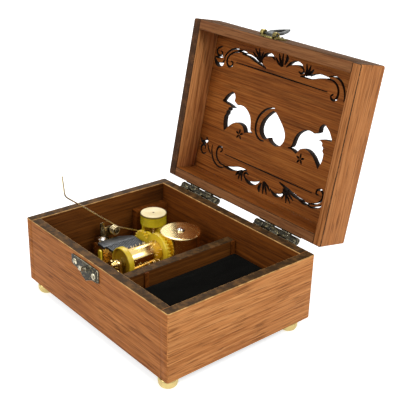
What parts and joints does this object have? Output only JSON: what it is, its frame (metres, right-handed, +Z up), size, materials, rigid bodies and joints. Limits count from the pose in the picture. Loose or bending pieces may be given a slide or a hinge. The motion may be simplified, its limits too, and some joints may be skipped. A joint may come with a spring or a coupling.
{
  "type": "music box",
  "caption": "Wooden jewellery box with a sawn fretwork lid, a padded tray and a wind-up pinned-cylinder music movement, with hasp and small feet.",
  "frame": {"origin": "middle of the footprint of the box with its lid open, on the ground", "axes": "+Z up, -Y towards the front with the catch, +X towards the tray"},
  "size_m": [0.12, 0.1318, 0.1342],
  "materials": {
    "oak_brown_wood": "oiled reddish-brown wood with dark horizontal grain and a dark painted rim",
    "lid_panel_wood": "satin medium brown board with dark sawn edges",
    "inner_wood": "dark brown, matt",
    "foot_brass": "satin brass, slightly dull",
    "velvet": "black velvet",
    "antique_bronze": "antique bronze, dark in the hollows and bright on worn edges",
    "bright_steel": "bright steel",
    "comb_steel": "grey steel, ground teeth",
    "gilt_metal": "gold-coloured, polished",
    "yellow_plastic": "yellow moulded plastic",
    "cream_plastic": "cream top over a yellow wall"
  },
  "bodies": {
    "base": {"base_wall_front": "oak_brown_wood", "base_wall_back": "oak_brown_wood", "base_wall_left": "oak_brown_wood", "base_wall_right": "oak_brown_wood", "floor_panel": "inner_wood", "divider": "inner_wood", "batten_front": "inner_wood", "batten_rear": "inner_wood", "corner_block": "inner_wood", "foot_front_left": "foot_brass", "foot_front_right": "foot_brass", "foot_rear_left": "foot_brass", "foot_rear_right": "foot_brass", "tray_pad": "velvet", "hinge_left_base_leaf": "antique_bronze", "hinge_left_pin": "bright_steel", "hinge_right_base_leaf": "antique_bronze", "hinge_right_pin": "bright_steel", "catch_plate": "antique_bronze", "catch_screw_1": "antique_bronze", "catch_screw_2": "antique_bronze", "bedplate": "gilt_metal", "mounting_screw_1": "bright_steel", "mounting_screw_2": "bright_steel", "mounting_screw_3": "bright_steel", "comb": "comb_steel", "comb_screw_1": "bright_steel", "comb_screw_2": "bright_steel", "spring_housing": "gilt_metal", "housing_screw_1": "bright_steel", "housing_screw_2": "bright_steel", "mainspring": "comb_steel", "governor_frame": "yellow_plastic", "stop_bracket": "gilt_metal", "stop_screw": "bright_steel"},
    "lid": {"lid_wall_front": "oak_brown_wood", "lid_wall_back": "oak_brown_wood", "lid_wall_left": "oak_brown_wood", "lid_wall_right": "oak_brown_wood", "lid_panel": "lid_panel_wood", "hinge_left_lid_leaf": "antique_bronze", "hinge_right_lid_leaf": "antique_bronze", "hasp_bracket": "antique_bronze", "hasp_screw_1": "antique_bronze", "hasp_screw_2": "antique_bronze"},
    "hasp": {"hasp_loop": "antique_bronze"},
    "stop_lever": {"stop_wire": "gilt_metal"},
    "cylinder": {"pin_cylinder": "gilt_metal", "cylinder_shaft": "bright_steel", "cylinder_front_flange": "yellow_plastic", "cylinder_gear": "yellow_plastic"},
    "idler": {"idler_gear": "yellow_plastic", "idler_arbor": "bright_steel", "worm_wheel": "yellow_plastic"},
    "governor": {"governor_worm": "yellow_plastic", "governor_drum": "cream_plastic"},
    "great_wheel": {"great_wheel": "gilt_metal"},
    "winding": {"winding_arbor": "bright_steel", "winding_key": "gilt_metal"}
  },
  "joints": [
    {"name": "lid_hinge", "type": "hinge", "parent": "base", "child": "lid", "pos_m": [0, 0.03025, 0.04025], "axis": [1, 0, 0], "range_deg": [0, 100.8]},
    {"name": "hasp_swing", "type": "hinge", "parent": "lid", "child": "hasp", "pos_m": [-0.0035, 0.05085, 0.13252], "axis": [1, 0, 0], "range_deg": [0, 169]},
    {"name": "stop_lever_turn", "type": "hinge", "parent": "base", "child": "stop_lever", "pos_m": [-0.0455, -0.01745, 0.0255], "axis": [1, 0, 0], "range_deg": [0, 14.3]},
    {"name": "cylinder_spin", "type": "hinge", "parent": "base", "child": "cylinder", "pos_m": [-0.0174, -0.01725, 0.022], "axis": [0, 1, 0], "continuous": true},
    {"name": "idler_spin", "type": "hinge", "parent": "base", "child": "idler", "pos_m": [-0.0319, -0.00725, 0.02057], "axis": [0, 1, 0], "continuous": true},
    {"name": "governor_spin", "type": "hinge", "parent": "base", "child": "governor", "pos_m": [-0.0389, 0.00385, 0.026], "axis": [0, 0, 1], "continuous": true},
    {"name": "great_wheel_spin", "type": "hinge", "parent": "base", "child": "great_wheel", "pos_m": [-0.0152, 0.00435, 0.012], "axis": [0, 0, 1], "continuous": true},
    {"name": "key_wind", "type": "hinge", "parent": "great_wheel", "child": "winding", "pos_m": [-0.0152, 0.00435, 0.006], "axis": [0, 0, 1], "continuous": true}
  ],
  "couplings": [
    {"joint": "stop_lever_turn", "follows": "lid_hinge", "ratio": 0.13889},
    {"joint": "idler_spin", "follows": "cylinder_spin", "ratio": -1.4},
    {"joint": "governor_spin", "follows": "cylinder_spin", "ratio": 33.6},
    {"joint": "great_wheel_spin", "follows": "cylinder_spin", "ratio": -0.68293}
  ]
}
